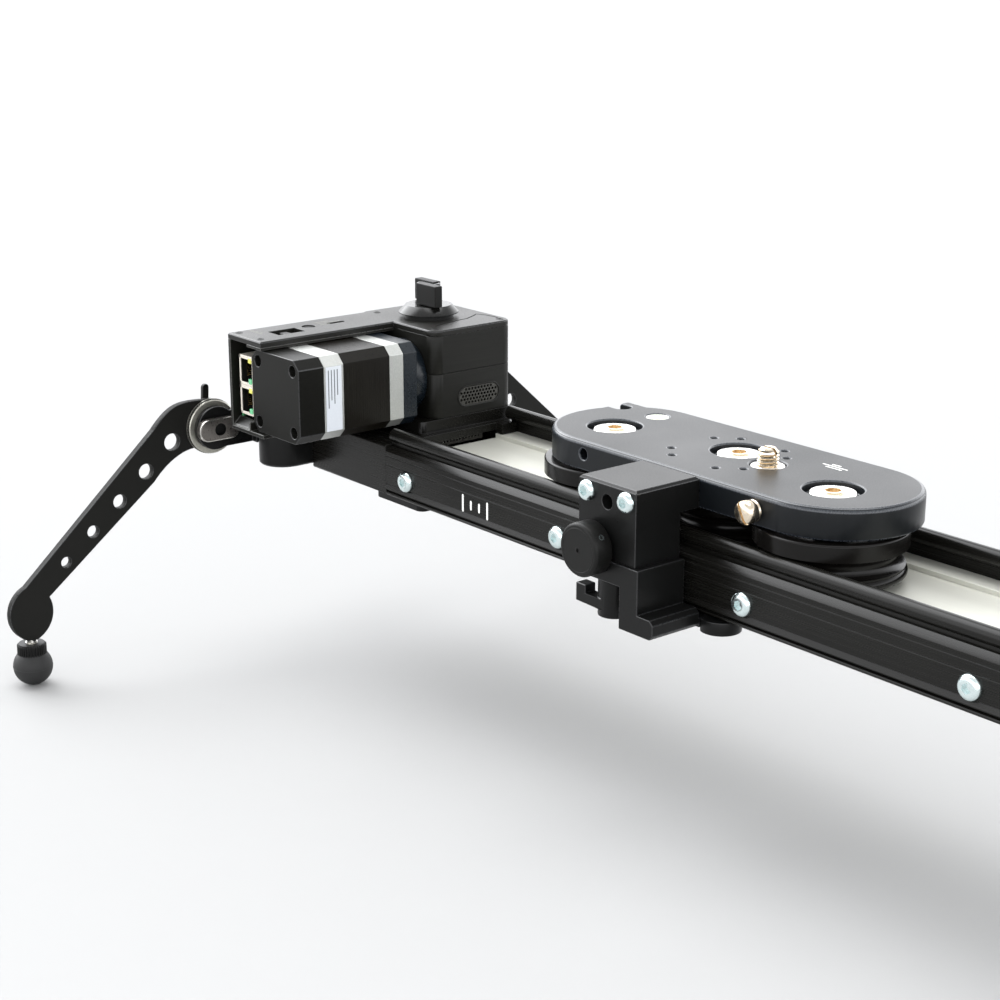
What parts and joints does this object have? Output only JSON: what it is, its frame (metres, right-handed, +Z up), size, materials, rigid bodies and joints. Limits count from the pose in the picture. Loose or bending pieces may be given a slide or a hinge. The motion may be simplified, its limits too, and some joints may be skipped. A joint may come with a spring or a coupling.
{
  "type": "motorised camera slider",
  "caption": "Motorised camera slider: a two-bead rail track on swing-out legs with a roller carriage, side brake, belt drive and geared motor unit.",
  "frame": {"origin": "on the floor under the middle of the track", "axes": "+X along the rails towards the idler end, +Y across the track away from the brake side, +Z up"},
  "size_m": [1.0724, 0.4072, 0.1939],
  "materials": {
    "black_anodised": "satin black anodised extrusion and machined parts",
    "plate_anodised": "fine brushed black anodised plate",
    "silver_anodised": "matte silver anodised",
    "zinc_plated": "bright blue zinc plating",
    "nickel_plated": "warm nickel plating",
    "steel": "ground steel",
    "printed_plastic": "layered matte black plastic",
    "lid_anodised": "satin black anodised lid",
    "motor_black": "satin black paint",
    "motor_cast": "fine cast silver",
    "gearbox_blue": "dark blue-black anodised",
    "grille_metal": "perforated dark sheet",
    "rubber": "matte rubber",
    "board_green": "circuit board",
    "jack_shield": "tinned steel",
    "level_glass": "clear vial",
    "knob_black": "satin moulded knob",
    "roller_black": "turned satin black polymer",
    "rosette_metal": "turned light metal"
  },
  "bodies": {
    "frame": {"near_rail": "black_anodised", "far_rail": "black_anodised", "bed_plate": "silver_anodised", "side_screws": "zinc_plated", "drive_base": "black_anodised", "idler_base": "black_anodised", "end_bars": "black_anodised", "tripod_blocks": "black_anodised", "leg_brackets": "black_anodised", "hub_rosettes": "rosette_metal", "motor_end_cap": "motor_black", "motor_bells": "motor_cast", "motor_stack": "motor_black", "motor_screws": "steel", "gearbox_flange": "gearbox_blue", "gearbox_body": "gearbox_blue", "idler_axle": "steel", "timing_belt": "rubber", "lower_housing": "printed_plastic", "upper_housing": "printed_plastic", "vent_grilles": "grille_metal", "top_plate": "lid_anodised", "controller_case": "lid_anodised", "data_jacks": "jack_shield", "circuit_board": "board_green", "clutch_collar": "knob_black"},
    "carriage": {"carriage_plate": "plate_anodised", "brake_block": "black_anodised", "brake_arm": "black_anodised", "belt_clamp": "black_anodised", "carriage_screws": "zinc_plated", "spare_camera_screw": "nickel_plated", "bubble_level": "level_glass", "axle_bolts": "steel", "roller_bearings": "steel"},
    "drive_side_roller": {"drive_side_roller": "roller_black"},
    "middle_roller": {"middle_roller": "roller_black"},
    "idler_side_roller": {"idler_side_roller": "roller_black"},
    "camera_screw": {"camera_screw": "nickel_plated"},
    "brake_knob": {"brake_knob": "knob_black"},
    "drive_shaft": {"drive_shaft": "steel", "drive_pulley": "silver_anodised"},
    "gearbox_output": {"gearbox_output": "steel"},
    "motor_rotor": {"motor_rotor": "steel"},
    "idler_pulley": {"idler_pulley": "silver_anodised"},
    "clutch_knob": {"clutch_knob": "knob_black"},
    "power_button": {"power_button": "knob_black"},
    "mode_switch": {"mode_switch": "knob_black"},
    "drive_near_leg": {"drive_near_leg": "black_anodised"},
    "drive_near_foot": {"drive_near_foot": "rubber"},
    "drive_near_clamp": {"drive_near_clamp": "knob_black"},
    "drive_far_leg": {"drive_far_leg": "black_anodised"},
    "drive_far_foot": {"drive_far_foot": "rubber"},
    "drive_far_clamp": {"drive_far_clamp": "knob_black"},
    "idler_near_leg": {"idler_near_leg": "black_anodised"},
    "idler_near_foot": {"idler_near_foot": "rubber"},
    "idler_near_clamp": {"idler_near_clamp": "knob_black"},
    "idler_far_leg": {"idler_far_leg": "black_anodised"},
    "idler_far_foot": {"idler_far_foot": "rubber"},
    "idler_far_clamp": {"idler_far_clamp": "knob_black"}
  },
  "joints": [
    {"name": "carriage_travel", "type": "slide", "parent": "frame", "child": "carriage", "axis": [1, 0, 0], "range_m": [-0.095, 0.546]},
    {"name": "drive_side_roller_spin", "type": "hinge", "parent": "carriage", "child": "drive_side_roller", "pos_m": [-0.29205, -0.0066, 0.1274], "axis": [0, 0, 1], "continuous": true},
    {"name": "middle_roller_spin", "type": "hinge", "parent": "carriage", "child": "middle_roller", "pos_m": [-0.22585, 0.0066, 0.1274], "axis": [0, 0, 1], "continuous": true},
    {"name": "idler_side_roller_spin", "type": "hinge", "parent": "carriage", "child": "idler_side_roller", "pos_m": [-0.15965, -0.0066, 0.1274], "axis": [0, 0, 1], "continuous": true},
    {"name": "drive_shaft_spin", "type": "hinge", "parent": "frame", "child": "drive_shaft", "pos_m": [-0.44995, 0.0145, 0.1078], "axis": [0, 0, 1], "continuous": true},
    {"name": "idler_pulley_spin", "type": "hinge", "parent": "frame", "child": "idler_pulley", "pos_m": [0.44995, 0.0145, 0.1078], "axis": [0, 0, 1], "continuous": true},
    {"name": "gearbox_output_spin", "type": "hinge", "parent": "frame", "child": "gearbox_output", "pos_m": [-0.44995, 0, 0.1497], "axis": [0, 1, 0], "continuous": true},
    {"name": "motor_rotor_spin", "type": "hinge", "parent": "frame", "child": "motor_rotor", "pos_m": [-0.44995, -0.05, 0.1497], "axis": [0, 1, 0], "continuous": true},
    {"name": "camera_screw_turn", "type": "hinge", "parent": "carriage", "child": "camera_screw", "pos_m": [-0.20245, 0, 0.1578], "axis": [0, 0, 1], "continuous": true},
    {"name": "brake_knob_turn", "type": "hinge", "parent": "carriage", "child": "brake_knob", "pos_m": [-0.22945, -0.08, 0.125], "axis": [0, 1, 0], "range_deg": [0, 270]},
    {"name": "clutch_turn", "type": "hinge", "parent": "frame", "child": "clutch_knob", "pos_m": [-0.45975, 0.0135, 0.1878], "axis": [0, 0, 1], "range_deg": [0, 90]},
    {"name": "power_button_press", "type": "slide", "parent": "frame", "child": "power_button", "axis": [0, 0, -1], "range_m": [0, 0.0012], "stiffness_N_per_m": 400},
    {"name": "mode_switch_slide", "type": "slide", "parent": "frame", "child": "mode_switch", "axis": [0, 1, 0], "range_m": [0, 0.003]},
    {"name": "drive_near_leg_fold", "type": "hinge", "parent": "frame", "child": "drive_near_leg", "pos_m": [-0.52625, -0.0831, 0.1191], "axis": [1, 0, 0], "range_deg": [0, 70]},
    {"name": "drive_near_foot_turn", "type": "hinge", "parent": "drive_near_leg", "child": "drive_near_foot", "pos_m": [-0.52625, -0.1922, 0.02], "axis": [0, 0, 1], "continuous": true},
    {"name": "drive_near_clamp_turn", "type": "hinge", "parent": "frame", "child": "drive_near_clamp", "pos_m": [-0.52625, -0.0831, 0.1191], "axis": [1, 0, 0], "range_deg": [-60, 60]},
    {"name": "drive_far_leg_fold", "type": "hinge", "parent": "frame", "child": "drive_far_leg", "pos_m": [-0.52625, 0.0831, 0.1191], "axis": [-1, 0, 0], "range_deg": [0, 70]},
    {"name": "drive_far_foot_turn", "type": "hinge", "parent": "drive_far_leg", "child": "drive_far_foot", "pos_m": [-0.52625, 0.1922, 0.02], "axis": [0, 0, 1], "continuous": true},
    {"name": "drive_far_clamp_turn", "type": "hinge", "parent": "frame", "child": "drive_far_clamp", "pos_m": [-0.52625, 0.0831, 0.1191], "axis": [1, 0, 0], "range_deg": [-60, 60]},
    {"name": "idler_near_leg_fold", "type": "hinge", "parent": "frame", "child": "idler_near_leg", "pos_m": [0.52625, -0.0831, 0.1191], "axis": [1, 0, 0], "range_deg": [0, 70]},
    {"name": "idler_near_foot_turn", "type": "hinge", "parent": "idler_near_leg", "child": "idler_near_foot", "pos_m": [0.52625, -0.1922, 0.02], "axis": [0, 0, 1], "continuous": true},
    {"name": "idler_near_clamp_turn", "type": "hinge", "parent": "frame", "child": "idler_near_clamp", "pos_m": [0.52625, -0.0831, 0.1191], "axis": [1, 0, 0], "range_deg": [-60, 60]},
    {"name": "idler_far_leg_fold", "type": "hinge", "parent": "frame", "child": "idler_far_leg", "pos_m": [0.52625, 0.0831, 0.1191], "axis": [-1, 0, 0], "range_deg": [0, 70]},
    {"name": "idler_far_foot_turn", "type": "hinge", "parent": "idler_far_leg", "child": "idler_far_foot", "pos_m": [0.52625, 0.1922, 0.02], "axis": [0, 0, 1], "continuous": true},
    {"name": "idler_far_clamp_turn", "type": "hinge", "parent": "frame", "child": "idler_far_clamp", "pos_m": [0.52625, 0.0831, 0.1191], "axis": [1, 0, 0], "range_deg": [-60, 60]}
  ],
  "couplings": [
    {"joint": "drive_side_roller_spin", "follows": "carriage_travel", "rad_per_m": -36.43},
    {"joint": "middle_roller_spin", "follows": "carriage_travel", "rad_per_m": 36.43},
    {"joint": "idler_side_roller_spin", "follows": "carriage_travel", "rad_per_m": -36.43},
    {"joint": "drive_shaft_spin", "follows": "carriage_travel", "rad_per_m": 83.333},
    {"joint": "idler_pulley_spin", "follows": "carriage_travel", "rad_per_m": 83.333},
    {"joint": "gearbox_output_spin", "follows": "carriage_travel", "rad_per_m": -83.333},
    {"joint": "motor_rotor_spin", "follows": "carriage_travel", "rad_per_m": -416.67}
  ]
}
